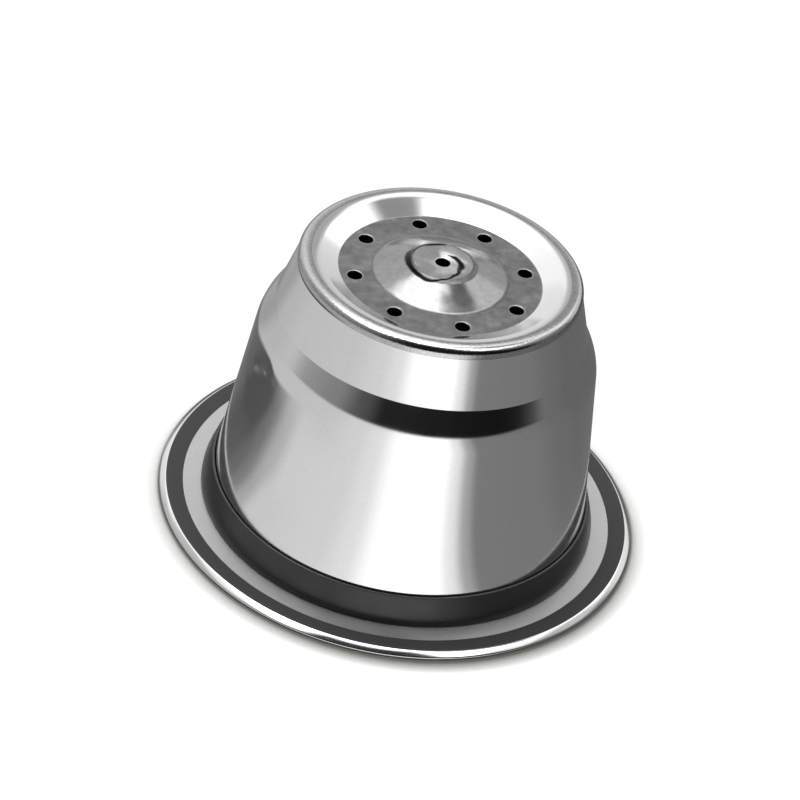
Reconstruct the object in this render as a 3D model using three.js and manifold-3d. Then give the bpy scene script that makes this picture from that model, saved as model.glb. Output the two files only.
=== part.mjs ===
// Reusable coffee capsule, standing on its flange with the perforated end up.
// Two pieces: a cup drawn from one stainless steel sheet, open underneath, and a
// rubber sealing ring that sits on the flange round the foot of the cup's wall.
// Millimetres and degrees, +Z up. The origin is on the axis, in the plane the flange stands on.

import * as THREE from 'three';
import { mergeVertices } from 'three/addons/utils/BufferGeometryUtils.js';
import Module from 'manifold-3d';

const wasm = await Module();
wasm.setup();

// Sheet
const wall = 0.35;

// Flange: a flat seat, then a rim that rises gently to a bead and slopes down to its low edge
const flangeDiameter = 37;
const rimWidth = 1.75;
const rimFootRadius = 0.8;
const beadInset = 0.5;
const beadHeight = 0.17;
const beadRadius = 0.45;
const rimEdgeHeight = 0.22;
const seatWidth = 2.3;

// Wall: a straight collar inside the seal, a tapered body, a rounded shoulder and an upper cone
const footRadius = 0.3;
const collarHeight = 2.35;
const collarRadius = 2;
const bodyHeight = 13.05;
const bodyTopDiameter = 25.7;
const shoulderRadius = 4;
const shoulderHeight = 2.05;
const shoulderTopDiameter = 23.5;
const shoulderTopRadius = 0.3;
const coneHeight = 3.75;
const neckDiameter = 21.3;
const neckRadius = 0.12;

// Crown: a rounded ring that bulges a little past the neck and falls inwards to the dish
const crownBulge = 0.12;
const crownHeight = 0.95;
const crownEdgeDrop = 0.3;
const crownEdgeRadius = 0.7;
const crownCrestRadius = 2;
const crownCrestShare = 0.62;

// Dish with its ring of holes, and the dome and boss in the middle
const dishDepth = 1;
const dishDiameter = 15.2;
const dishEdgeRadius = 0.2;
const holeDiameter = 1.15;
const holeCount = 8;
const holeInset = 1.05;
const firstHoleAngle = 20;
const domeGap = 1.55;
const domeHeight = 0.95;
const domeFootRadius = 0.8;
const bossDiameter = 4.7;
const bossFlank = 0.3;
const bossHeight = 0.2;
const bossFootRadius = 0.15;
const bossEdgeRadius = 0.45;
const bossDimple = 0.08;
const centreHoleDiameter = 1.15;

// Sealing ring
const sealHeight = 2.35;
const sealBaseWidth = 0.85;
const sealLipWidth = 0.2;
const sealOuterFlat = 0.5;
const sealCrownRadius = 1.6;
const sealClearance = 0.05;

// Fineness of the faceted surfaces
const turns = 60;
const arcStep = 30;
const arcSag = 0.025;
const samePoint = 0.001;
const holeSides = 16;

const steel = new THREE.MeshStandardMaterial({ color: 0xc4c5c7, roughness: 0.16, metalness: 1 });
const rubber = new THREE.MeshStandardMaterial({ color: 0x18181a, roughness: 0.55, metalness: 0 });

// Radii and heights that follow from the sizes above

const flangeRadius = flangeDiameter / 2;
const seatOuterRadius = flangeRadius - rimWidth;
const collarOuterRadius = seatOuterRadius - seatWidth;
const sealOuterRadius = collarOuterRadius + sealBaseWidth;
const neckOuterRadius = neckDiameter / 2;
const dishRadius = dishDiameter / 2;
const holeCircleRadius = dishRadius - holeInset;
const domeRadius = holeCircleRadius - domeGap;
const bossRadius = bossDiameter / 2;

const collarTop = wall + collarHeight;
const bodyTop = collarTop + bodyHeight;
const shoulderTop = bodyTop + shoulderHeight;
const neckLevel = shoulderTop + coneHeight;
const crestLevel = neckLevel + crownHeight;
const dishLevel = crestLevel - dishDepth;
const domeLevel = dishLevel + domeHeight;
const bossLevel = domeLevel + bossHeight;

const corner = (r, z, fillet = 0) => ({ at: new THREE.Vector2(r, z), fillet });

// Replaces each corner by an arc of its fillet radius. Where two arcs want more of the side
// between them than its length, both shrink in proportion.
function roundedPath(corners) {
  const wanted = corners.map((one, i) => tangentLength(corners[i - 1], one, corners[i + 1]));
  const fitted = wanted.map((length, i) => {
    const rooms = [i - 1, i + 1].filter((k) => corners[k]).map((k) => {
      return corners[i].at.distanceTo(corners[k].at) / (length + wanted[k]);
    });
    return length * Math.min(1, ...rooms);
  });
  const points = corners.flatMap((one, i) => filletArc(corners[i - 1], one, corners[i + 1], fitted[i]));
  return points.filter((point, i) => i === 0 || point.distanceTo(points[i - 1]) > samePoint);
}

// Half the angle between the sides that run from a corner to its neighbours.
function halfOpening(before, one, after) {
  const back = before.at.clone().sub(one.at);
  return back.angleTo(after.at.clone().sub(one.at)) / 2;
}

// How far from its corner an arc of the corner's fillet radius touches the sides.
function tangentLength(before, one, after) {
  return before && after ? one.fillet / Math.tan(halfOpening(before, one, after)) : 0;
}

function filletArc(before, one, after, tangent) {
  if (tangent < samePoint) return [one.at.clone()];
  const half = halfOpening(before, one, after);
  const radius = tangent * Math.tan(half);
  const back = before.at.clone().sub(one.at).normalize();
  const inward = after.at.clone().sub(one.at).normalize().add(back).normalize();
  const centre = one.at.clone().addScaledVector(inward, radius / Math.sin(half));
  const start = one.at.clone().addScaledVector(back, tangent).sub(centre);
  const turn = Math.PI - 2 * half;
  const side = Math.sign(start.cross(one.at.clone().sub(centre)));
  const finest = 2 * Math.acos(1 - Math.min(arcSag / radius, 1));
  const steps = Math.ceil(turn / Math.min(finest, THREE.MathUtils.degToRad(arcStep)));
  const arc = [];
  for (let k = 0; k <= steps; k++) {
    arc.push(start.clone().rotateAround(new THREE.Vector2(), (side * turn * k) / steps).add(centre));
  }
  return arc;
}

// The same path moved sideways by a distance, to the right of its direction, with mitred corners.
function parallelPath(points, distance) {
  const sides = points.slice(1).map((point, i) => point.clone().sub(points[i]).normalize());
  return points.map((point, i) => {
    const into = sides[Math.max(i - 1, 0)];
    const out = sides[Math.min(i, sides.length - 1)];
    const along = into.clone().add(out).normalize();
    const shift = new THREE.Vector2(along.y, -along.x).multiplyScalar(distance / along.dot(into));
    return point.clone().add(shift);
  });
}

// Turns a closed profile of radius and height round the Z axis.
function turned(profile) {
  const geometry = new THREE.LatheGeometry([...profile, profile[0]], turns);
  geometry.rotateX(Math.PI / 2);
  return solidOf(geometry);
}

function solidOf(geometry) {
  geometry.deleteAttribute('normal');
  geometry.deleteAttribute('uv');
  const merged = mergeVertices(geometry);
  return new wasm.Manifold(new wasm.Mesh({
    numProp: 3,
    vertProperties: merged.attributes.position.array,
    triVerts: new Uint32Array(merged.index.array),
  }));
}

function meshOf(name, solid, material) {
  const { vertProperties, triVerts } = solid.getMesh();
  const geometry = new THREE.BufferGeometry();
  geometry.setAttribute('position', new THREE.BufferAttribute(vertProperties, 3));
  geometry.setIndex(new THREE.BufferAttribute(triVerts, 1));
  geometry.computeVertexNormals();
  const mesh = new THREE.Mesh(geometry, material);
  mesh.name = name;
  return mesh;
}

// The outer skin of the sheet, from the cut edge of the rim up to the edge of the centre hole.
// The seat is divided just outside the seal, so that its bare part is a face of its own.
function cupSkin() {
  const crownRadius = neckOuterRadius + crownBulge;
  const crestRadius = THREE.MathUtils.lerp(dishRadius, crownRadius, crownCrestShare);
  return roundedPath([
    corner(flangeRadius, 0),
    corner(flangeRadius, rimEdgeHeight),
    corner(flangeRadius - beadInset, wall + beadHeight, beadRadius),
    corner(seatOuterRadius, wall, rimFootRadius),
    corner(sealOuterRadius + sealClearance, wall),
    corner(collarOuterRadius, wall, footRadius),
    corner(collarOuterRadius, collarTop, collarRadius),
    corner(bodyTopDiameter / 2, bodyTop, shoulderRadius),
    corner(shoulderTopDiameter / 2, shoulderTop, shoulderTopRadius),
    corner(neckOuterRadius, neckLevel, neckRadius),
    corner(crownRadius, crestLevel - crownEdgeDrop, crownEdgeRadius),
    corner(crestRadius, crestLevel, crownCrestRadius),
    corner(dishRadius, dishLevel, dishEdgeRadius),
    corner(domeRadius, dishLevel, domeFootRadius),
    corner(bossRadius + bossFlank, domeLevel, bossFootRadius),
    corner(bossRadius, bossLevel, bossEdgeRadius),
    corner(centreHoleDiameter / 2, bossLevel - bossDimple),
  ]);
}

// Round punches for the ring of holes, long enough to pass through the dish.
function holePunches() {
  const punch = new THREE.CylinderGeometry(holeDiameter / 2, holeDiameter / 2, 6 * wall, holeSides);
  punch.rotateX(Math.PI / 2);
  punch.translate(holeCircleRadius, 0, dishLevel - wall / 2);
  const punches = [];
  for (let i = 0; i < holeCount; i++) {
    const angle = THREE.MathUtils.degToRad(firstHoleAngle) + (2 * Math.PI * i) / holeCount;
    punches.push(solidOf(punch.clone().rotateZ(angle)));
  }
  return punches;
}

function capsuleCup() {
  const skin = cupSkin();
  const inside = parallelPath(skin, -wall);
  const cup = turned([...skin, ...inside.reverse()]);
  const pierced = holePunches().reduce((body, punch) => body.subtract(punch), cup);
  return meshOf('capsule_cup', pierced, steel);
}

// A ring with a flat base on the flange, a bore that clears the collar and a rounded outer side.
function sealRing() {
  const bore = collarOuterRadius + sealClearance;
  const top = wall + sealHeight;
  const relief = footRadius + sealClearance;
  const section = roundedPath([
    corner(bore + relief, wall),
    corner(sealOuterRadius, wall),
    corner(sealOuterRadius, wall + sealOuterFlat, sealCrownRadius),
    corner(bore + sealLipWidth, top, sealLipWidth / 2),
    corner(bore, top),
    corner(bore, wall + relief),
  ]);
  return meshOf('seal_ring', turned(section), rubber);
}

const capsule = new THREE.Group();
capsule.add(capsuleCup(), sealRing());

export default capsule;
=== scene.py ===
# %% [markdown]
# # A reusable coffee capsule in polished steel
#
# The capsule is a cup drawn from one thin stainless sheet, standing on its flange with the
# perforated end up, and a black rubber ring that seals it in the machine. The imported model
# gives the two solids as flats. Here each is made again as a smooth, finely rounded piece in
# the same place, because polished steel shows every flat as a broken reflection.

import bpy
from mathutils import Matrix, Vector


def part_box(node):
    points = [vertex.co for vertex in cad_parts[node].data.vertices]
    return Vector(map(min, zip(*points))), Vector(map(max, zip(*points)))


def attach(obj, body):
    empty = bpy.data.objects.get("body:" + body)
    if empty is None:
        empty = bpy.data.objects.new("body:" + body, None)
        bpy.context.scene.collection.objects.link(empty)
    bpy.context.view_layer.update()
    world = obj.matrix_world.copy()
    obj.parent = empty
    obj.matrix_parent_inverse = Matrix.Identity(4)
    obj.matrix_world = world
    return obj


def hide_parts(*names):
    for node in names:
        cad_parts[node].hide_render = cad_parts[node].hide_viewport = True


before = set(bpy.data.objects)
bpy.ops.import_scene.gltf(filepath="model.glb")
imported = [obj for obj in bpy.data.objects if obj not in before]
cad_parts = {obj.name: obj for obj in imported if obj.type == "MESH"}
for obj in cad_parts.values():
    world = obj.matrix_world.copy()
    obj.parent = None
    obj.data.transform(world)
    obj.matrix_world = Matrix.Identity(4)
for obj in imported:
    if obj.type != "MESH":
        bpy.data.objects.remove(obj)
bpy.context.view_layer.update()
print("nodes:", sorted(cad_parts))

# %% [markdown]
# The script works in metres. Sizes are written in millimetres, as on a drawing, and turned
# into metres by MM. The flange's radius is read from the frame, and the other sizes belong to
# the drawn sheet: first its thickness, then the flange and the wall, then the pierced end.

# %% Sizes of the drawn cup
import math

import bmesh
import bpy
from mathutils import Matrix, Vector

MM = 0.001
CUP_LOW, CUP_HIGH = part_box("capsule_cup")
FLANGE_RADIUS = CUP_HIGH.x
WALL = 0.35 * MM

SEAT_RADIUS = FLANGE_RADIUS - 1.75 * MM
BEAD_RADIUS = FLANGE_RADIUS - 0.5 * MM
BEAD_LEVEL = WALL + 0.17 * MM
RIM_EDGE_HEIGHT = 0.22 * MM
COLLAR_RADIUS = SEAT_RADIUS - 2.3 * MM
COLLAR_TOP = WALL + 2.35 * MM
BODY_TOP = COLLAR_TOP + 13.05 * MM
BODY_TOP_RADIUS = 12.85 * MM
SHOULDER_TOP = BODY_TOP + 2.05 * MM
SHOULDER_TOP_RADIUS = 11.75 * MM
NECK_LEVEL = SHOULDER_TOP + 3.75 * MM
NECK_RADIUS = 10.65 * MM

CREST_LEVEL = NECK_LEVEL + 0.95 * MM
CROWN_RADIUS = NECK_RADIUS + 0.12 * MM
CROWN_EDGE_DROP = 0.3 * MM
DISH_RADIUS = 7.6 * MM
DISH_LEVEL = CREST_LEVEL - 1.0 * MM
CREST_SHARE = 0.62
CREST_RADIUS = DISH_RADIUS + CREST_SHARE * (CROWN_RADIUS - DISH_RADIUS)
HOLE_CIRCLE_RADIUS = DISH_RADIUS - 1.05 * MM
HOLE_RADIUS = 0.545 * MM
HOLE_COUNT = 8
FIRST_HOLE = math.radians(20)
DOME_RADIUS = HOLE_CIRCLE_RADIUS - 1.55 * MM
DOME_LEVEL = DISH_LEVEL + 0.95 * MM
BOSS_RADIUS = 2.35 * MM
BOSS_FLANK = 0.3 * MM
BOSS_LEVEL = DOME_LEVEL + 0.2 * MM
BOSS_DIMPLE = 0.08 * MM
print("flange across:", round(2 * FLANGE_RADIUS / MM, 2), "mm")

# %% [markdown]
# ## The skin of the cup
#
# The real cup is pressed from a flat disc in several draws, so it is the same on all sides and
# every corner of its section is rounded by a punch. Spinning a drawn section would work too,
# but rings are easier to change: a circle is extruded upwards from corner to corner of the
# section, and each corner's ring is then bevelled to the radius that its punch leaves.

# %% Rings and rounded corners
AROUND = 192
ARC_STEP = math.radians(6)
NEAR = 0.002 * MM


def deselect_all():
    """Leaves edit mode and selects nothing."""
    if bpy.context.object and bpy.context.object.mode != "OBJECT":
        bpy.ops.object.mode_set(mode="OBJECT")
    bpy.ops.object.select_all(action="DESELECT")


def edit(piece):
    """Selects one piece alone and opens it in edit mode."""
    deselect_all()
    piece.select_set(True)
    bpy.context.view_layer.objects.active = piece
    bpy.ops.object.mode_set(mode="EDIT")


def select_edges(piece, test):
    """In edit mode, selects the edges that pass the test and nothing else; says how many."""
    bpy.ops.mesh.select_mode(type="EDGE")
    bpy.ops.mesh.select_all(action="DESELECT")
    mesh = bmesh.from_edit_mesh(piece.data)
    found = [edge for edge in mesh.edges if test(edge)]
    for edge in found:
        edge.select_set(True)
    bmesh.update_edit_mesh(piece.data)
    return len(found)


def radius_of(point):
    return math.hypot(point.x, point.y)


def on_ring(edge, radius, height):
    """True if both ends of the edge lie at this radius and height."""
    return all(
        abs(radius_of(v.co) - radius) < NEAR and abs(v.co.z - height) < NEAR for v in edge.verts
    )


def corner_turn(before, here, after):
    """The angle by which the section turns at a corner."""
    a, b, c = (Vector(corner[:2]) for corner in (before, here, after))
    return (b - a).angle(c - b)


def fitted_tangents(corners):
    """How far each corner's arc reaches along its sides, shrunk where two arcs share a side."""
    last = len(corners) - 1
    wanted = [0.0] * len(corners)
    for i in range(1, last):
        wanted[i] = corners[i][2] * math.tan(corner_turn(*corners[i - 1 : i + 2]) / 2)
    fitted = []
    for i, length in enumerate(wanted):
        share = 1.0
        for k in (i - 1, i + 1):
            if 0 <= k <= last and length > 0:
                side = math.dist(corners[i][:2], corners[k][:2])
                share = min(share, 0.998 * side / (length + wanted[k]))
        fitted.append(length * share)
    return fitted


def turned_skin(name, corners):
    """A surface through rings at the corners (radius, height, fillet), with rounded corners."""
    deselect_all()
    first_radius, first_height, _ = corners[0]
    bpy.ops.mesh.primitive_circle_add(
        vertices=AROUND, radius=first_radius, location=(0, 0, first_height)
    )
    piece = bpy.context.object
    piece.name = name
    bpy.ops.object.transform_apply(location=True, rotation=True, scale=True)
    edit(piece)
    bpy.ops.mesh.select_all(action="SELECT")
    for before, here in zip(corners, corners[1:]):
        bpy.ops.mesh.extrude_region_move(
            TRANSFORM_OT_translate={"value": (0, 0, here[1] - before[1])}
        )
        scale = here[0] / before[0]
        bpy.ops.transform.resize(value=(scale, scale, 1))
    for i, tangent in enumerate(fitted_tangents(corners)):
        if tangent > NEAR:
            radius, height, _ = corners[i]
            select_edges(piece, lambda edge: on_ring(edge, radius, height))
            turn = corner_turn(*corners[i - 1 : i + 2])
            bpy.ops.mesh.bevel(
                offset_type="OFFSET",
                offset=tangent,
                segments=max(2, math.ceil(turn / ARC_STEP)),
                profile=0.5,
                clamp_overlap=False,
            )
    bpy.ops.mesh.select_all(action="SELECT")
    bpy.ops.mesh.remove_doubles(threshold=NEAR / 10)
    bpy.ops.mesh.normals_make_consistent(inside=False)
    bpy.ops.object.mode_set(mode="OBJECT")
    return piece


# %% [markdown]
# The section is listed from the cut edge of the rim up to the edge of the centre hole. Each
# line is one corner: its radius, its height and the radius of its rounding.

# %% The cup's section
cup_corners = [
    (FLANGE_RADIUS, CUP_LOW.z, 0),
    (FLANGE_RADIUS, CUP_LOW.z + RIM_EDGE_HEIGHT, 0),
    (BEAD_RADIUS, BEAD_LEVEL, 0.45 * MM),
    (SEAT_RADIUS, WALL, 0.8 * MM),
    (COLLAR_RADIUS, WALL, 0.3 * MM),
    (COLLAR_RADIUS, COLLAR_TOP, 2 * MM),
    (BODY_TOP_RADIUS, BODY_TOP, 4 * MM),
    (SHOULDER_TOP_RADIUS, SHOULDER_TOP, 0.3 * MM),
    (NECK_RADIUS, NECK_LEVEL, 0.12 * MM),
    (CROWN_RADIUS, CREST_LEVEL - CROWN_EDGE_DROP, 0.7 * MM),
    (CREST_RADIUS, CREST_LEVEL, 2 * MM),
    (DISH_RADIUS, DISH_LEVEL, 0.2 * MM),
    (DOME_RADIUS, DISH_LEVEL, 0.8 * MM),
    (BOSS_RADIUS + BOSS_FLANK, DOME_LEVEL, 0.15 * MM),
    (BOSS_RADIUS, BOSS_LEVEL, 0.45 * MM),
    (HOLE_RADIUS, BOSS_LEVEL - BOSS_DIMPLE, 0),
]
cup = turned_skin("steel_cup", cup_corners)
print("skin of the cup:", len(cup.data.vertices), "vertices")

# %% [markdown]
# ## The ring of holes
#
# The eight holes are punched through the flat floor of the dish. A boolean would cut them too,
# but it leaves slivers on the fine rings, and these show as scratches in polished steel. So the
# floor's faces are taken out, a circle is drawn for each hole and drawn in once to get a clean
# band round its edge, and Fill makes one flat floor between the circles.

# %% Punching the floor
HOLE_SIDES = 40
HOLE_BAND = 0.22 * MM


def hole_centre(i):
    """The middle of hole i on the floor of the dish."""
    angle = FIRST_HOLE + i * math.tau / HOLE_COUNT
    return Vector((math.cos(angle), math.sin(angle), 0)) * HOLE_CIRCLE_RADIUS + Vector((0, 0, DISH_LEVEL))


def is_floor_face(face):
    """True for the long flat faces between the dish's edge and the foot of the dome."""
    spread = [radius_of(v.co) for v in face.verts]
    flat = all(abs(v.co.z - DISH_LEVEL) < NEAR for v in face.verts)
    return flat and max(spread) - min(spread) > MM


def is_floor_border(edge):
    """True for the open edges at floor level, apart from the edges of the holes themselves."""
    if not edge.is_boundary or any(abs(v.co.z - DISH_LEVEL) > NEAR for v in edge.verts):
        return False
    gaps = [min((v.co - hole_centre(i)).length for i in range(HOLE_COUNT)) for v in edge.verts]
    return all(gap > HOLE_RADIUS + HOLE_BAND / 2 for gap in gaps)


edit(cup)
bpy.ops.mesh.select_mode(type="FACE")
bpy.ops.mesh.select_all(action="DESELECT")
floor_faces = [face for face in bmesh.from_edit_mesh(cup.data).faces if is_floor_face(face)]
for face in floor_faces:
    face.select_set(True)
bpy.ops.mesh.delete(type="ONLY_FACE")
bpy.ops.mesh.select_mode(type="EDGE")
for i in range(HOLE_COUNT):
    bpy.ops.mesh.select_all(action="DESELECT")
    bpy.ops.mesh.primitive_circle_add(
        vertices=HOLE_SIDES, radius=HOLE_RADIUS + HOLE_BAND, location=hole_centre(i)
    )
    bpy.ops.mesh.extrude_region_move()
    shrink = HOLE_RADIUS / (HOLE_RADIUS + HOLE_BAND)
    bpy.ops.transform.resize(value=(shrink, shrink, 1))
borders = select_edges(cup, is_floor_border)
bpy.ops.mesh.fill(use_beauty=True)
bpy.ops.mesh.select_all(action="SELECT")
bpy.ops.mesh.normals_make_consistent(inside=False)
bpy.ops.object.mode_set(mode="OBJECT")
print("floor: faces out", len(floor_faces), "border edges", borders)

# %% [markdown]
# ## The knocked patch on the wall
#
# The photograph shows a shallow knock high on the left of the wall, crossed by a short crease.
# Sculpting would do it by hand. Here the straight stretch of the wall is subdivided, and single
# points are pushed in or out with proportional editing, so that the sheet round them follows.

# %% Knocks in the wall
WALL_CUTS = 40

knocks = [
    (-66, 13.6, 3.6, 0.22),
    (-57, 14.0, 0.9, -0.05),
    (-61, 13.7, 0.9, -0.07),
    (-65, 13.2, 0.9, -0.07),
    (-69, 12.5, 0.9, -0.06),
    (-73, 11.7, 0.9, -0.05),
    (-60, 14.6, 0.9, 0.06),
    (-64, 14.3, 0.9, 0.08),
    (-68, 13.8, 0.9, 0.06),
]


def press_in(piece, degrees, height, reach, depth):
    """Pushes the wall in at an angle from the camera's side; the lengths are in millimetres."""
    angle = math.radians(degrees)
    outwards = Vector((math.sin(angle), -math.cos(angle), 0))
    target = outwards * BODY_TOP_RADIUS + Vector((0, 0, height * MM))
    mesh = bmesh.from_edit_mesh(piece.data)
    nearest = min(mesh.verts, key=lambda v: (v.co - target).length)
    bpy.ops.mesh.select_all(action="DESELECT")
    nearest.select_set(True)
    bmesh.update_edit_mesh(piece.data)
    bpy.ops.transform.translate(
        value=outwards * -depth * MM,
        use_proportional_edit=True,
        proportional_edit_falloff="SMOOTH",
        proportional_size=reach * MM,
    )


edit(cup)
long_edges = select_edges(cup, lambda e: abs(e.verts[0].co.z - e.verts[1].co.z) > 6 * MM)
bpy.ops.mesh.subdivide(number_cuts=WALL_CUTS)
bpy.ops.mesh.select_mode(type="VERT")
for knock in knocks:
    press_in(cup, *knock)
bpy.ops.object.mode_set(mode="OBJECT")
print("wall edges cut:", long_edges, "knocks:", len(knocks))

# %% [markdown]
# ## The thickness of the sheet
#
# Solidify gives the skin its 0.35 mm, inwards, with even thickness round the bends. It follows
# the faces' front sides, so these have to point outwards first. The punch and the trimming die
# leave the edges of the holes and of the rim slightly rounded, and a small bevel does that.

# %% The wall and its cut edges
EDGE_ROUNDING = 0.08 * MM
CUT_ANGLE = math.radians(50)


def apply_modifiers(piece):
    """Applies every modifier of the piece, from the top down."""
    deselect_all()
    piece.select_set(True)
    bpy.context.view_layer.objects.active = piece
    for name in [modifier.name for modifier in piece.modifiers]:
        bpy.ops.object.modifier_apply(modifier=name)


def outward(piece):
    """True if the face that lies farthest out points away from the axis."""
    face = max(piece.data.polygons, key=lambda f: radius_of(f.center))
    return face.normal.x * face.center.x + face.normal.y * face.center.y > 0


if not outward(cup):
    edit(cup)
    bpy.ops.mesh.select_all(action="SELECT")
    bpy.ops.mesh.flip_normals()
    bpy.ops.object.mode_set(mode="OBJECT")

thickness = cup.modifiers.new("sheet", "SOLIDIFY")
thickness.thickness = WALL
thickness.offset = -1
thickness.use_even_offset = True
apply_modifiers(cup)


def is_cut_edge(edge):
    """True for the edges where the sheet's two sides meet its cut face."""
    if len(edge.link_faces) != 2 or edge.calc_face_angle(0) < CUT_ANGLE:
        return False
    middle = (edge.verts[0].co + edge.verts[1].co) / 2
    at_holes = any(
        abs(math.hypot(middle.x - hole_centre(i).x, middle.y - hole_centre(i).y) - HOLE_RADIUS) < NEAR * 3
        for i in range(HOLE_COUNT)
    )
    at_centre = radius_of(middle) < HOLE_RADIUS + WALL
    at_rim = all(radius_of(v.co) > FLANGE_RADIUS - NEAR for v in edge.verts)
    along = abs(edge.verts[0].co.z - edge.verts[1].co.z) < NEAR
    return along and (at_holes or at_centre or at_rim)


edit(cup)
cut_edges = select_edges(cup, is_cut_edge)
bpy.ops.mesh.bevel(offset_type="OFFSET", offset=EDGE_ROUNDING, segments=3, profile=0.5)
bpy.ops.object.mode_set(mode="OBJECT")
print("cut edges rounded:", cut_edges)

# %% [markdown]
# Smooth shading by angle keeps the drawn bends soft and the cut edges crisp.

# %% Smooth shading
SHARP_FROM = math.radians(40)


def shade(piece):
    """Shades the piece smooth, apart from edges that turn by more than the sharp angle."""
    deselect_all()
    piece.select_set(True)
    bpy.context.view_layer.objects.active = piece
    bpy.ops.object.shade_smooth_by_angle(angle=SHARP_FROM)


shade(cup)
print("cup:", sum(len(f.vertices) - 2 for f in cup.data.polygons), "triangles")

# %% [markdown]
# ## The sealing ring
#
# A moulded rubber ring is slipped over the wall and lies on the flange round its foot. Its base
# is flat, its bore clears the steel collar and its outer side rounds over to a thin lip. It is
# turned from its section in the same way, and a bridge between its first and last ring closes it.

# %% The ring
SEAL_CLEARANCE = 0.05 * MM
SEAL_BORE = COLLAR_RADIUS + SEAL_CLEARANCE
SEAL_OUTER = COLLAR_RADIUS + 0.85 * MM
SEAL_TOP = WALL + 2.35 * MM
SEAL_RELIEF = 0.35 * MM
SEAL_LIP = 0.2 * MM
SEAL_FLAT = 0.5 * MM

seal_corners = [
    (SEAL_BORE + SEAL_RELIEF, WALL, 0),
    (SEAL_OUTER, WALL, 0.06 * MM),
    (SEAL_OUTER, WALL + SEAL_FLAT, 1.6 * MM),
    (SEAL_BORE + SEAL_LIP, SEAL_TOP, 0.1 * MM),
    (SEAL_BORE, SEAL_TOP, 0.04 * MM),
    (SEAL_BORE, WALL + SEAL_RELIEF, 0),
]
seal = turned_skin("rubber_seal", seal_corners)
edit(seal)
open_edges = select_edges(seal, lambda edge: edge.is_boundary)
bpy.ops.mesh.bridge_edge_loops()
bpy.ops.mesh.select_all(action="SELECT")
bpy.ops.mesh.normals_make_consistent(inside=False)
bpy.ops.object.mode_set(mode="OBJECT")
shade(seal)
print("seal: bridged", open_edges, "edges")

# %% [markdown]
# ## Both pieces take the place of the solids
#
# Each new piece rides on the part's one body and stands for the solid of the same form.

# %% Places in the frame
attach(cup, "root")
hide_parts("capsule_cup")
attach(seal, "root")
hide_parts("seal_ring")

# %% [markdown]
# ## A grain that steel and rubber share
#
# Neither steel nor rubber is even: polishing leaves soft clouds, drawing leaves lumps, and a
# mould leaves a fine tooth. An image could hold them, but it would have to be unwrapped on every
# bend. Noise on the piece's own coordinates needs no unwrapping, so one node group makes it for
# all materials. It gives out only values that vary over the surface.

# %% The grain group


def add_socket(group, name, direction, kind, default=None):
    socket = group.interface.new_socket(name=name, in_out=direction, socket_type=kind)
    if default is not None:
        socket.default_value = default
    return socket


def make_grain_group():
    """Clouds, a fine tooth and a soft swell on the vector that goes in."""
    group = bpy.data.node_groups.new("surface_grain", "ShaderNodeTree")
    add_socket(group, "Vector", "INPUT", "NodeSocketVector")
    add_socket(group, "Cloud Scale", "INPUT", "NodeSocketFloat", 200.0)
    add_socket(group, "Tooth Scale", "INPUT", "NodeSocketFloat", 4000.0)
    add_socket(group, "Low", "INPUT", "NodeSocketFloat", 0.0)
    add_socket(group, "High", "INPUT", "NodeSocketFloat", 1.0)
    add_socket(group, "Clouds", "OUTPUT", "NodeSocketFloat")
    add_socket(group, "Tooth", "OUTPUT", "NodeSocketFloat")
    add_socket(group, "Swell", "OUTPUT", "NodeSocketFloat")
    nodes, links = group.nodes, group.links
    into = nodes.new("NodeGroupInput")
    out = nodes.new("NodeGroupOutput")
    clouds = nodes.new("ShaderNodeTexNoise")
    clouds.inputs["Detail"].default_value = 3
    tooth = nodes.new("ShaderNodeTexNoise")
    tooth.inputs["Detail"].default_value = 2
    swell = nodes.new("ShaderNodeTexNoise")
    swell.inputs["Detail"].default_value = 0
    links.new(into.outputs["Vector"], swell.inputs["Vector"])
    links.new(into.outputs["Cloud Scale"], swell.inputs["Scale"])
    spread = nodes.new("ShaderNodeMapRange")
    spread.inputs["From Min"].default_value = 0.3
    spread.inputs["From Max"].default_value = 0.7
    links.new(into.outputs["Vector"], clouds.inputs["Vector"])
    links.new(into.outputs["Vector"], tooth.inputs["Vector"])
    links.new(into.outputs["Cloud Scale"], clouds.inputs["Scale"])
    links.new(into.outputs["Tooth Scale"], tooth.inputs["Scale"])
    links.new(clouds.outputs["Fac"], spread.inputs["Value"])
    links.new(into.outputs["Low"], spread.inputs["To Min"])
    links.new(into.outputs["High"], spread.inputs["To Max"])
    links.new(spread.outputs["Result"], out.inputs["Clouds"])
    links.new(tooth.outputs["Fac"], out.inputs["Tooth"])
    links.new(swell.outputs["Fac"], out.inputs["Swell"])
    return group


grain_group = make_grain_group()
print("group:", grain_group.name)

# %% [markdown]
# ## The painted dark swirl round the boss
#
# A dark line winds round the boss: it starts behind it, runs down its left side in the groove,
# passes in front and curls in to the right of the middle hole. It is a painted reflection: a dark
# reflection in uneven metal, laid into the steel's colour. One photograph can't tell dried
# residue from a reflection in uneven metal. It crosses three finishes, so it is a group. A ramp
# gives the line's radius for each angle round the axis, another its half width, and a little
# noise makes its edges uneven.

# %% The swirl group
SWIRL_SPAN = 4.0 * MM
SWIRL_UNEVEN_SCALE = 800
SWIRL_UNEVEN = 0.35 * MM
SWIRL_INNER_EDGE = 0.5
SWIRL_OUTER_EDGE = 1.4
SWIRL_LEAST_WIDTH = 0.001
swirl_radius = [
    (-178, 2.3), (-150, 2.3), (-130, 2.45), (-97, 2.6), (-50, 2.6), (-15, 2.7), (8, 2.3),
    (35, 1.8), (69, 1.45), (120, 1.2), (163, 1.05),
]
swirl_width = [
    (-178, 0.14), (-165, 0.17), (-140, 0.19), (-90, 0.21), (-30, 0.15), (0, 0.08), (30, 0.12),
    (75, 0.24), (135, 0.22), (160, 0.06), (170, 0.0),
]


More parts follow.
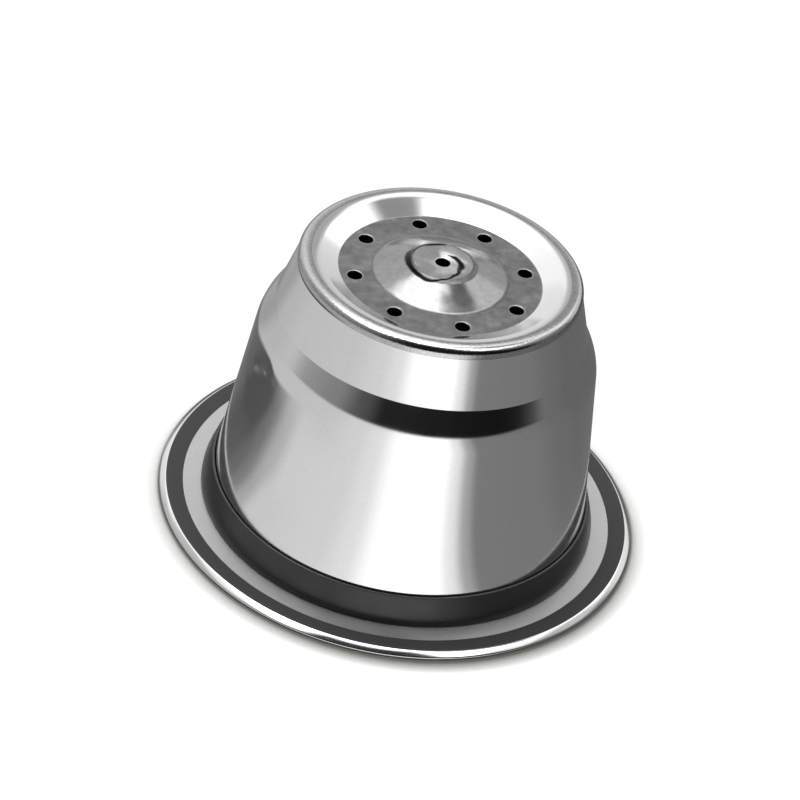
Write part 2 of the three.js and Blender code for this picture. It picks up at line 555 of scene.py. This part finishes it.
def add_axis_angle(nodes, links, vector):
    """The angle round the axis as a share of a turn, the camera's side at a half, and the height."""
    axes = nodes.new("ShaderNodeSeparateXYZ")
    links.new(vector, axes.inputs["Vector"])
    front = add_math(nodes, links, "MULTIPLY", axes.outputs["Y"], -1)
    angle = add_math(nodes, links, "ARCTAN2", axes.outputs["X"], front)
    share = nodes.new("ShaderNodeMapRange")
    share.inputs["From Min"].default_value = -math.pi
    share.inputs["From Max"].default_value = math.pi
    links.new(angle, share.inputs["Value"])
    return share.outputs["Result"], axes.outputs["Z"]


def add_axis_radius(nodes, links, vector):
    """How far a point lies from the axis."""
    flat = nodes.new("ShaderNodeVectorMath")
    flat.operation = "MULTIPLY"
    flat.inputs[1].default_value = (1, 1, 0)
    length = nodes.new("ShaderNodeVectorMath")
    length.operation = "LENGTH"
    links.new(vector, flat.inputs[0])
    links.new(flat.outputs["Vector"], length.inputs[0])
    return length.outputs["Value"]


def add_math(nodes, links, operation, first, second):
    """A maths node on two inputs, each a socket or a number."""
    node = nodes.new("ShaderNodeMath")
    node.operation = operation
    for i, value in enumerate((first, second)):
        if isinstance(value, (int, float)):
            node.inputs[i].default_value = value
        else:
            links.new(value, node.inputs[i])
    return node.outputs["Value"]


def add_stops(nodes, links, angle, stops, scale):
    """A ramp through stops of (degrees from the camera's side, value), as value / scale."""
    ramp = nodes.new("ShaderNodeValToRGB")
    ramp.color_ramp.interpolation = "EASE"
    while len(ramp.color_ramp.elements) < len(stops):
        ramp.color_ramp.elements.new(0.5)
    for element, (degrees, value) in zip(ramp.color_ramp.elements, stops):
        element.position = degrees / 360 + 0.5
    for element, (degrees, value) in zip(ramp.color_ramp.elements, stops):
        element.color = (value / scale, value / scale, value / scale, 1)
    links.new(angle, ramp.inputs["Fac"])
    return ramp.outputs["Color"]


def make_swirl_group():
    """1 on the line of the painted reflection and 0 off it."""
    group = bpy.data.node_groups.new("boss_swirl_painted_reflection", "ShaderNodeTree")
    add_socket(group, "Vector", "INPUT", "NodeSocketVector")
    add_socket(group, "Line", "OUTPUT", "NodeSocketFloat")
    nodes, links = group.nodes, group.links
    into = nodes.new("NodeGroupInput")
    out = nodes.new("NodeGroupOutput")
    angle, _ = add_axis_angle(nodes, links, into.outputs["Vector"])
    radius = add_axis_radius(nodes, links, into.outputs["Vector"])
    unevenness = nodes.new("ShaderNodeTexNoise")
    unevenness.inputs["Scale"].default_value = SWIRL_UNEVEN_SCALE
    links.new(into.outputs["Vector"], unevenness.inputs["Vector"])
    wobble = add_math(nodes, links, "SUBTRACT", unevenness.outputs["Fac"], 0.5)
    wobble = add_math(nodes, links, "MULTIPLY", wobble, SWIRL_UNEVEN)
    share = add_math(nodes, links, "ADD", radius, wobble)
    share = add_math(nodes, links, "DIVIDE", share, SWIRL_SPAN)
    line = add_stops(nodes, links, angle, swirl_radius, SWIRL_SPAN / MM)
    width = add_stops(nodes, links, angle, swirl_width, SWIRL_SPAN / MM)
    off = add_math(nodes, links, "ABSOLUTE", add_math(nodes, links, "SUBTRACT", share, line), 0)
    half = add_math(nodes, links, "ADD", width, SWIRL_LEAST_WIDTH)
    off = add_math(nodes, links, "DIVIDE", off, half)
    edge = nodes.new("ShaderNodeMapRange")
    edge.interpolation_type = "SMOOTHSTEP"
    edge.inputs["From Min"].default_value = SWIRL_INNER_EDGE
    edge.inputs["From Max"].default_value = SWIRL_OUTER_EDGE
    edge.inputs["To Min"].default_value = 1
    edge.inputs["To Max"].default_value = 0
    links.new(off, edge.inputs["Value"])
    links.new(edge.outputs["Result"], out.inputs["Line"])
    return group


swirl_group = make_swirl_group()
print("group:", swirl_group.name)

# %% [markdown]
# ## Steels of one sheet
#
# The look of steel is nearly all reflection, so each steel is a pair of greys, a pair of
# roughnesses and a bump. The photograph shows some places grained or dull, and these get darker
# greys. How dark each is was found by comparing renders with the photograph in this tent, so it
# is an estimate: that darkness is partly the finish and partly painted shade for darker
# surroundings. The dark ring round the boss is painted shade alone, where its flank would otherwise show
# as a white ring.

# %% Steel


def new_material(name):
    """A new material with its nodes and links; it starts with one Principled shader."""
    material = bpy.data.materials.new(name)
    material.use_nodes = True
    return material, material.node_tree.nodes, material.node_tree.links


def add_grain(nodes, links, cloud_scale, tooth_scale, low, high):
    """Puts the grain group on the piece's own coordinates."""
    place = nodes.new("ShaderNodeTexCoord")
    grain = nodes.new("ShaderNodeGroup")
    grain.node_tree = grain_group
    grain.inputs["Cloud Scale"].default_value = cloud_scale
    grain.inputs["Tooth Scale"].default_value = tooth_scale
    grain.inputs["Low"].default_value = low
    grain.inputs["High"].default_value = high
    links.new(place.outputs["Object"], grain.inputs["Vector"])
    return grain


def add_bump(nodes, links, height, strength, distance):
    """A bump of a height; its normal goes on to the shader or to the next bump."""
    bump = nodes.new("ShaderNodeBump")
    bump.inputs["Strength"].default_value = strength
    bump.inputs["Distance"].default_value = distance
    links.new(height, bump.inputs["Height"])
    return bump


def add_two_colours(nodes, links, factor, first, second):
    """Mixes two colours by a varying factor into the base colour."""
    mix = nodes.new("ShaderNodeMix")
    mix.data_type = "RGBA"
    mix.inputs["A"].default_value = (*first, 1)
    mix.inputs["B"].default_value = (*second, 1)
    links.new(factor, mix.inputs["Factor"])
    links.new(mix.outputs["Result"], nodes["Principled BSDF"].inputs["Base Color"])


def make_steel(name, greys, roughness, clouds, tooth, bump, lumps):
    """Steel between two greys and two roughnesses, with a fine tooth and soft lumps."""
    material, nodes, links = new_material(name)
    shader = nodes["Principled BSDF"]
    shader.inputs["Metallic"].default_value = 1
    grain = add_grain(nodes, links, clouds, tooth, *roughness)
    links.new(grain.outputs["Clouds"], shader.inputs["Roughness"])
    add_two_colours(nodes, links, grain.outputs["Tooth"], *greys)
    soft = add_bump(nodes, links, grain.outputs["Swell"], 1, lumps)
    fine = add_bump(nodes, links, grain.outputs["Tooth"], 1, bump)
    links.new(soft.outputs["Normal"], fine.inputs["Normal"])
    links.new(fine.outputs["Normal"], shader.inputs["Normal"])
    return material


def add_painted_swirl(material):
    """Lays the swirl's painted reflection over a steel's colour."""
    nodes, links = material.node_tree.nodes, material.node_tree.links
    shader = nodes["Principled BSDF"]
    clean = shader.inputs["Base Color"].links[0].from_socket
    place = nodes.new("ShaderNodeTexCoord")
    swirl = nodes.new("ShaderNodeGroup")
    swirl.node_tree = swirl_group
    links.new(place.outputs["Object"], swirl.inputs["Vector"])
    mix = nodes.new("ShaderNodeMix")
    mix.data_type = "RGBA"
    mix.inputs["B"].default_value = (*SWIRL_REFLECTION_COLOUR, 1)
    links.new(swirl.outputs["Line"], mix.inputs["Factor"])
    links.new(clean, mix.inputs["A"])
    links.new(mix.outputs["Result"], shader.inputs["Base Color"])


def grey(value):
    return (value, value, value)


# The near black of the swirl's painted reflection.
SWIRL_REFLECTION_COLOUR = (0.004, 0.004, 0.004)


def steel_pair(name, low, high, roughness, clouds, tooth, bump, lumps):
    """A named steel from two grey levels."""
    return make_steel(name, (grey(low), grey(high)), roughness, clouds, tooth, bump * MM, lumps * MM)


steels = {
    "polished_steel": steel_pair("polished_steel", 0.56, 0.62, (0.08, 0.13), 260, 5200, 0.0004, 0.004),
    # The grained, dull and dome steels take greys darkened in part by painted shade.
    "grained_shaded_steel": steel_pair("grained_shaded_steel", 0.24, 0.50, (0.12, 0.20), 500, 6500, 0.010, 0.02),
    "dull_shaded_steel": steel_pair("dull_shaded_steel", 0.14, 0.32, (0.16, 0.30), 700, 1500, 0.001, 0.01),
    "dome_steel": steel_pair("dome_steel", 0.17, 0.25, (0.10, 0.20), 800, 2500, 0.001, 0.03),
    # Painted shade: a dark ring round the boss, where its flank would show a white ring.
    "boss_ring_shade": steel_pair("boss_ring_shade", 0.07, 0.15, (0.25, 0.40), 900, 2500, 0.001, 0.03),
    "boss_steel": steel_pair("boss_steel", 0.38, 0.50, (0.10, 0.18), 650, 4000, 0.001, 0.16),
    "satin_steel": steel_pair("satin_steel", 0.33, 0.39, (0.42, 0.52), 300, 5200, 0.0005, 0.002),
    # Painted shade: the dark, dull ring that rises from the seat to the rim's bead.
    "rim_ring_shade": steel_pair("rim_ring_shade", 0.050, 0.062, (0.50, 0.60), 300, 5200, 0.0005, 0.002),
}
# The painted-shade ring is given no metal and little gloss.
rim_ring_shader = steels["rim_ring_shade"].node_tree.nodes["Principled BSDF"]
rim_ring_shader.inputs["Metallic"].default_value = 0
rim_ring_shader.inputs["Specular IOR Level"].default_value = 0.1
# The swirl's painted reflection goes on these three steels.
for name in ("dome_steel", "boss_ring_shade", "boss_steel"):
    add_painted_swirl(steels[name])
print("steels:", list(steels))

# %% [markdown]
# ## Where each finish lies
#
# The photograph shows more than one finish on the one sheet. The wall is polished. The outer
# side of the crown is grained. The pierced dish is duller and cloudy. Both are darkened in part
# by painted shade. The flat seat is satin, and the ring that rises from it to the rim's bright
# bead is painted shade: dark, dull and the same on every side. Separate objects would cut the one
# sheet in pieces, so the faces of one mesh are given their material by their place.

# %% Finishes by place
DOME_FOOT = DOME_RADIUS + 0.2 * MM
BOSS_TOP = BOSS_RADIUS - 0.1 * MM
# Out to this radius the ring round the boss is painted shade.
BOSS_SHADE_EDGE = BOSS_RADIUS + BOSS_FLANK + 0.15 * MM
DISH_EDGE = DISH_RADIUS + 0.05 * MM
GRAIN_FROM = CREST_RADIUS + 0.1 * MM
# From here to the bead, the rising ring is painted shade.
RIM_SHADE_FROM = SEAT_RADIUS - 0.1 * MM
FACING_UP = 0.5

pierced_finishes = [
    (BOSS_TOP, "boss_steel"),
    (BOSS_SHADE_EDGE, "boss_ring_shade"),
    (DOME_FOOT, "dome_steel"),
    (DISH_EDGE, "dull_shaded_steel"),
]


def finish_of(face):
    """The steel that a face of the cup is finished in."""
    radius, height, up = radius_of(face.center), face.center.z, face.normal.z
    if RIM_SHADE_FROM < radius < BEAD_RADIUS and up > FACING_UP:
        return "rim_ring_shade"
    if COLLAR_RADIUS < radius < SEAT_RADIUS and up > FACING_UP:
        return "satin_steel"
    if height > DISH_LEVEL - WALL / 2:
        for edge, finish in pierced_finishes:
            if radius < edge:
                return finish
    if radius > GRAIN_FROM and height > NECK_LEVEL - WALL / 4:
        return "grained_shaded_steel"
    return "polished_steel"


finishes = list(steels)
for name in finishes:
    cup.data.materials.append(steels[name])
for face in cup.data.polygons:
    face.material_index = finishes.index(finish_of(face))
used = [face.material_index for face in cup.data.polygons]
print("faces of each finish:", {name: used.count(i) for i, name in enumerate(finishes)})

# %% [markdown]
# ## Black rubber
#
# The ring is nearly black and dull, as moulded rubber is. Black paint would look flat, so it
# takes two near blacks and the shared grain's tooth, with a roughness that varies a little.

# %% Rubber


def make_rubber():
    material, nodes, links = new_material("black_rubber")
    shader = nodes["Principled BSDF"]
    shader.inputs["Specular IOR Level"].default_value = 0.6
    grain = add_grain(nodes, links, 350, 6000, 0.32, 0.44)
    links.new(grain.outputs["Clouds"], shader.inputs["Roughness"])
    add_two_colours(nodes, links, grain.outputs["Tooth"], (0.003, 0.003, 0.003), (0.008, 0.008, 0.008))
    tooth = add_bump(nodes, links, grain.outputs["Tooth"], 0.2, 0.02 * MM)
    links.new(tooth.outputs["Normal"], shader.inputs["Normal"])
    return material


seal.data.materials.append(make_rubber())

# %% [markdown]
# ## Floor and light tent
#
# The object stands on a white floor. Polished steel shows its surroundings, so it is set in a
# tent, as metal is in a studio: white cloth with grey and black strips, which only its
# reflections see. The floor glows white to the camera, and on a glow no lamp's shadow shows. So
# an ambient occlusion node stands in for the dark seam round the rim.

# %% The floor
FLOOR_SIZE = 6.0
FLOOR_COLOUR = (0.20, 0.195, 0.18, 1)
FLOOR_GLOW = 0.88
SHADOW_REACH = 1.4 * MM
SHADOW_DARK_AT = 0.77
LIGHT_SIDE = (-0.2, 0.7, 0.7)


def set_rays(piece, camera, diffuse, glossy, shadow):
    """Which rays see a stage piece."""
    piece.visible_camera = camera
    piece.visible_diffuse = diffuse
    piece.visible_glossy = glossy
    piece.visible_transmission = glossy
    piece.visible_shadow = shadow


def add_radius(nodes, links):
    """How far a point of the piece lies from the axis."""
    place = nodes.new("ShaderNodeTexCoord")
    return add_axis_radius(nodes, links, place.outputs["Object"])


def add_contact_shade(nodes, links):
    """From 0 where the rim covers the light from behind to 1 on the open floor."""
    side = nodes.new("ShaderNodeCombineXYZ")
    for axis, value in zip("XYZ", LIGHT_SIDE):
        side.inputs[axis].default_value = value
    cover = nodes.new("ShaderNodeAmbientOcclusion")
    cover.samples = 16
    cover.inputs["Distance"].default_value = SHADOW_REACH
    links.new(side.outputs["Vector"], cover.inputs["Normal"])
    shade = nodes.new("ShaderNodeMapRange")
    shade.inputs["From Min"].default_value = SHADOW_DARK_AT
    links.new(cover.outputs["AO"], shade.inputs["Value"])
    return shade.outputs["Result"]


def make_floor():
    deselect_all()
    bpy.ops.mesh.primitive_plane_add(size=FLOOR_SIZE, location=(0, 0, CUP_LOW.z))
    floor = bpy.context.object
    floor.name = "floor"
    material, nodes, links = new_material("white_floor")
    shader = nodes["Principled BSDF"]
    shader.inputs["Base Color"].default_value = FLOOR_COLOUR
    shader.inputs["Roughness"].default_value = 1
    shader.inputs["Specular IOR Level"].default_value = 0
    rays = nodes.new("ShaderNodeLightPath")
    seen = add_math(nodes, links, "MAXIMUM", rays.outputs["Is Camera Ray"], rays.outputs["Is Glossy Ray"])
    seen = add_math(nodes, links, "MAXIMUM", seen, rays.outputs["Is Transmission Ray"])
    outside = add_math(nodes, links, "GREATER_THAN", add_radius(nodes, links), FLANGE_RADIUS)
    open_floor = add_math(nodes, links, "MULTIPLY", outside, add_contact_shade(nodes, links))
    level = add_math(nodes, links, "MULTIPLY", open_floor, FLOOR_GLOW)
    glow = nodes.new("ShaderNodeEmission")
    links.new(add_math(nodes, links, "MULTIPLY", seen, level), glow.inputs["Strength"])
    both = nodes.new("ShaderNodeAddShader")
    links.new(shader.outputs["BSDF"], both.inputs[0])
    links.new(glow.outputs["Emission"], both.inputs[1])
    links.new(both.outputs["Shader"], nodes["Material Output"].inputs["Surface"])
    floor.data.materials.append(material)
    return floor


floor = make_floor()
print("floor:", FLOOR_SIZE, "m")

# %% [markdown]
# The tent has three pieces: a cloth on the ground, a round wall and a bright ceiling. Angles
# go round from the camera's side, 0, to the right, 90, and the back, 180, and each stop of a
# ramp is one strip of cloth: its angle and how much it glows. Polished steel shows about 0.6 of
# it. The strips were set for this camera, so from other sides the steel shows other stripes.

# %% Strips of cloth
TENT_RADIUS = 0.4
TENT_HEIGHT = 0.5
GROUND_LIFT = 0.02 * MM
CLOTH_GLOW = 5.2


def add_angle(nodes, links):
    """The angle round the axis as a share of a turn, and the height."""
    place = nodes.new("ShaderNodeTexCoord")
    return add_axis_angle(nodes, links, place.outputs["Object"])


def add_strips(nodes, links, angle, stops):
    """A ramp through strips of cloth, each an angle in degrees and a glow."""
    return add_stops(nodes, links, angle, stops, CLOTH_GLOW)


def add_beyond(nodes, links, measure, level, softness, below, above):
    """Mixes two strips: one below a level of a height or radius and the other beyond it."""
    step = nodes.new("ShaderNodeMapRange")
    step.interpolation_type = "SMOOTHSTEP"
    step.inputs["From Min"].default_value = level - softness
    step.inputs["From Max"].default_value = level + softness
    links.new(measure, step.inputs["Value"])
    mix = nodes.new("ShaderNodeMix")
    mix.data_type = "RGBA"
    links.new(step.outputs["Result"], mix.inputs["Factor"])
    links.new(below, mix.inputs["A"])
    links.new(above, mix.inputs["B"])
    return mix.outputs["Result"]


def finish_cloth(piece, material, colour):
    """Makes the cloth glow in its colour, and shows it to reflections alone."""
    nodes, links = material.node_tree.nodes, material.node_tree.links
    glow = nodes.new("ShaderNodeEmission")
    glow.inputs["Strength"].default_value = CLOTH_GLOW
    links.new(colour, glow.inputs["Color"])
    links.new(glow.outputs["Emission"], nodes["Material Output"].inputs["Surface"])
    nodes.remove(nodes["Principled BSDF"])
    piece.data.materials.append(material)
    set_rays(piece, camera=False, diffuse=False, glossy=True, shadow=False)


# %% [markdown]
# The wall of the cup leans in, so it mirrors the ground close to it. Rings of cloth there give
# the bright stripe in front, the grey right side and the dark blotch on the left. Near, dark and
# far cloth differ on the left, and share their strips from the front round to the right and back.

# %% The cloth on the ground
front_strips = [
    (-28, 1.05), (-16, 1.22), (-4, 1.75), (0, 1.9), (20, 1.9), (28, 1.3), (34, 0.6),
    (40, 0.31), (72, 0.29), (95, 0.23), (110, 0.2), (150, 0.17), (180, 0.45),
]
near_strips = [
    (-180, 0.45), (-125, 0.2), (-105, 0.14), (-93, 0.16), (-84, 0.22), (-77, 0.33), (-70, 0.62),
    (-62, 0.95),
] + front_strips
dark_strips = [
    (-180, 0.4), (-115, 0.18), (-103, 0.12), (-90, 0.13), (-80, 0.27), (-68, 0.7), (-58, 1.0),
] + front_strips
far_strips = [(-180, 0.45), (-130, 0.5), (-112, 0.75), (-90, 0.85), (-50, 0.9)] + front_strips
DARK_FROM = 0.0258
DARK_SOFTNESS = 0.003
FAR_FROM = 0.041
FAR_SOFTNESS = 0.005


def add_ring_of_cloth(name, height, inner):
    """A flat ring of cloth from an inner radius out to the tent's wall, or a disc."""
    deselect_all()
    bpy.ops.mesh.primitive_circle_add(vertices=96, radius=TENT_RADIUS, location=(0, 0, height))
    ring = bpy.context.object
    ring.name = name
    bpy.ops.object.transform_apply(location=True, rotation=True, scale=True)
    edit(ring)
    bpy.ops.mesh.select_all(action="SELECT")
    if inner > 0:
        bpy.ops.mesh.extrude_region_move()
        share = inner / TENT_RADIUS
        bpy.ops.transform.resize(value=(share, share, 1))
    else:
        bpy.ops.mesh.edge_face_add()
    bpy.ops.object.mode_set(mode="OBJECT")
    return ring


ground = add_ring_of_cloth("tent_ground", CUP_LOW.z + GROUND_LIFT, FLANGE_RADIUS + 0.5 * MM)
material, nodes, links = new_material("ground_cloth")
angle, _ = add_angle(nodes, links)
radius = add_radius(nodes, links)
near = add_strips(nodes, links, angle, near_strips)
dark = add_strips(nodes, links, angle, dark_strips)
far = add_strips(nodes, links, angle, far_strips)
colour = add_beyond(nodes, links, radius, DARK_FROM, DARK_SOFTNESS, near, dark)
colour = add_beyond(nodes, links, radius, FAR_FROM, FAR_SOFTNESS, colour, far)
finish_cloth(ground, material, colour)
print("ground cloth:", len(near_strips), "strips")

# %% [markdown]
# The slanted shoulder mirrors the tent's wall above its foot, where black cloth in front makes
# the dark band. The dish mirrors the back of the wall, higher up. So the wall has four levels:
# its foot, as the far ground, then the middle, the upper and the top strips.

# %% The wall of the tent
middle_strips = [
    (-180, 1.0), (-165, 1.2), (-150, 1.35), (-135, 1.2), (-120, 0.75), (-100, 0.55), (-75, 0.45),
    (-52, 0.35), (-32, 0.12), (-18, 0.02), (66, 0.01), (80, 0.03), (92, 0.28), (115, 0.4),
    (130, 1.2), (150, 1.25), (165, 1.0), (180, 0.9),
]
upper_strips = [
    (-180, 0.6), (-172, 0.8), (-160, 1.5), (-130, 1.6), (-115, 0.8), (-70, 0.6), (-40, 0.3),
    (-20, 0.02), (60, 0.01), (80, 0.4), (115, 0.9), (130, 2.0), (150, 2.0), (158, 0.8),
    (168, 0.6), (180, 0.6),
]
top_strips = [
    (-180, 2.0), (-150, 1.7), (-130, 1.6), (-90, 1.4), (-60, 0.7), (-30, 0.02), (50, 0.02),
    (72, 0.8), (88, 1.7), (125, 1.9), (138, 2.2), (180, 2.0),
]
FIRST_LEVEL = 0.045
FIRST_SOFTNESS = 0.02
SECOND_LEVEL = 0.225
SECOND_SOFTNESS = 0.03
TOP_LEVEL = 0.42
TOP_SOFTNESS = 0.05

deselect_all()
bpy.ops.mesh.primitive_cylinder_add(
    vertices=96,
    radius=TENT_RADIUS,
    depth=TENT_HEIGHT,
    end_fill_type="NOTHING",
    location=(0, 0, TENT_HEIGHT / 2),
)
wall = bpy.context.object
wall.name = "tent_wall"
bpy.ops.object.transform_apply(location=True, rotation=True, scale=True)
material, nodes, links = new_material("wall_cloth")
angle, height = add_angle(nodes, links)
colour = add_strips(nodes, links, angle, far_strips)
middle = add_strips(nodes, links, angle, middle_strips)
colour = add_beyond(nodes, links, height, FIRST_LEVEL, FIRST_SOFTNESS, colour, middle)
upper = add_strips(nodes, links, angle, upper_strips)
colour = add_beyond(nodes, links, height, SECOND_LEVEL, SECOND_SOFTNESS, colour, upper)
top = add_strips(nodes, links, angle, top_strips)
colour = add_beyond(nodes, links, height, TOP_LEVEL, TOP_SOFTNESS, colour, top)
finish_cloth(wall, material, colour)
print("wall cloth:", len(middle_strips), "strips in the middle")

# %% [markdown]
# The inner slope of the crown and the front of the dome mirror the ceiling. Its middle is bright
# for the white patch on the dome. Darker cloth farther out, behind on the right, makes the smear
# on the crown's slope, and black cloth in front makes the dark line along the crown's edge.

# %% The ceiling of the tent
outer_cloth = [
    (-180, 5.0), (-60, 5.0), (-35, 0.05), (40, 0.05), (60, 5.0), (100, 5.0), (104, 1.7), (118, 0.9),
    (130, 0.4), (140, 0.45), (150, 0.9), (162, 1.7), (176, 5.0),
]
CEILING_GLOW = 5.0
OUTER_FROM = 0.11
TOP_FROM = 0.33
CEILING_SOFTNESS = 0.05

ceiling = add_ring_of_cloth("tent_ceiling", TENT_HEIGHT, 0)
material, nodes, links = new_material("ceiling_cloth")
angle, _ = add_angle(nodes, links)
radius = add_radius(nodes, links)
middle = add_strips(nodes, links, angle, [(-180, CEILING_GLOW), (180, CEILING_GLOW)])
top = add_strips(nodes, links, angle, top_strips)
outer = add_strips(nodes, links, angle, outer_cloth)
colour = add_beyond(nodes, links, radius, OUTER_FROM, CEILING_SOFTNESS, middle, outer)
colour = add_beyond(nodes, links, radius, TOP_FROM, CEILING_SOFTNESS, colour, top)
finish_cloth(ceiling, material, colour)
print("ceiling cloth:", len(outer_cloth), "strips farther out")

# %% [markdown]
# One soft round lamp and an even white world light the rubber, the painted-shade ring and the
# floor. The lamp is hidden from reflections, because the steel has the tent for that.

# %% World and lamp
scene = bpy.context.scene
WORLD_GLOW = 0.7

scene.view_settings.view_transform = "Standard"
world = bpy.data.worlds.new("studio")
scene.world = world
world.use_nodes = True
backdrop = world.node_tree.nodes["Background"]
backdrop.inputs["Color"].default_value = (1, 1, 1, 1)
backdrop.inputs["Strength"].default_value = WORLD_GLOW


def add_lamp(name, location, size, power):
    """A round soft lamp that faces the object."""
    light = bpy.data.lights.new(name, "AREA")
    light.shape = "DISK"
    light.size = size
    light.energy = power
    lamp = bpy.data.objects.new(name, light)
    lamp.location = location
    lamp.rotation_mode = "QUATERNION"
    lamp.rotation_quaternion = (-Vector(location)).to_track_quat("-Z", "Y")
    lamp.visible_glossy = False
    scene.collection.objects.link(lamp)
    return lamp


key_lamp = add_lamp("key_lamp", (-0.12, 0.1, 0.3), 0.2, 0.35)
print("lamp:", key_lamp.data.energy, "W")

# %% [markdown]
# ## The camera
#
# The camera was fitted to the ellipses of the flange, the foot, the shoulder and the crown: it
# looks down by 36 degrees through a long lens, and is rolled by about 11 degrees.

# %% Camera
CAMERA_PLACE = Vector((-1.18, -184.33, 143.71)) * MM
CAMERA_RIGHT = Vector((0.9818, 0.1118, 0.1536))
CAMERA_DOWN = Vector((0.18995, -0.5778, -0.7938))
LENS = 135.0
SENSOR = 36.0

camera_data = bpy.data.cameras.new("camera")
camera_data.lens = LENS
camera_data.sensor_width = SENSOR
camera = bpy.data.objects.new("camera", camera_data)
back = CAMERA_DOWN.cross(CAMERA_RIGHT).normalized()
turned = Matrix((CAMERA_RIGHT, -CAMERA_DOWN, back)).transposed()
camera.matrix_world = Matrix.Translation(CAMERA_PLACE) @ turned.to_4x4()
camera_data.clip_start = 0.01
camera_data.clip_end = 20
scene.collection.objects.link(camera)
scene.camera = camera
print("camera:", LENS, "mm lens")
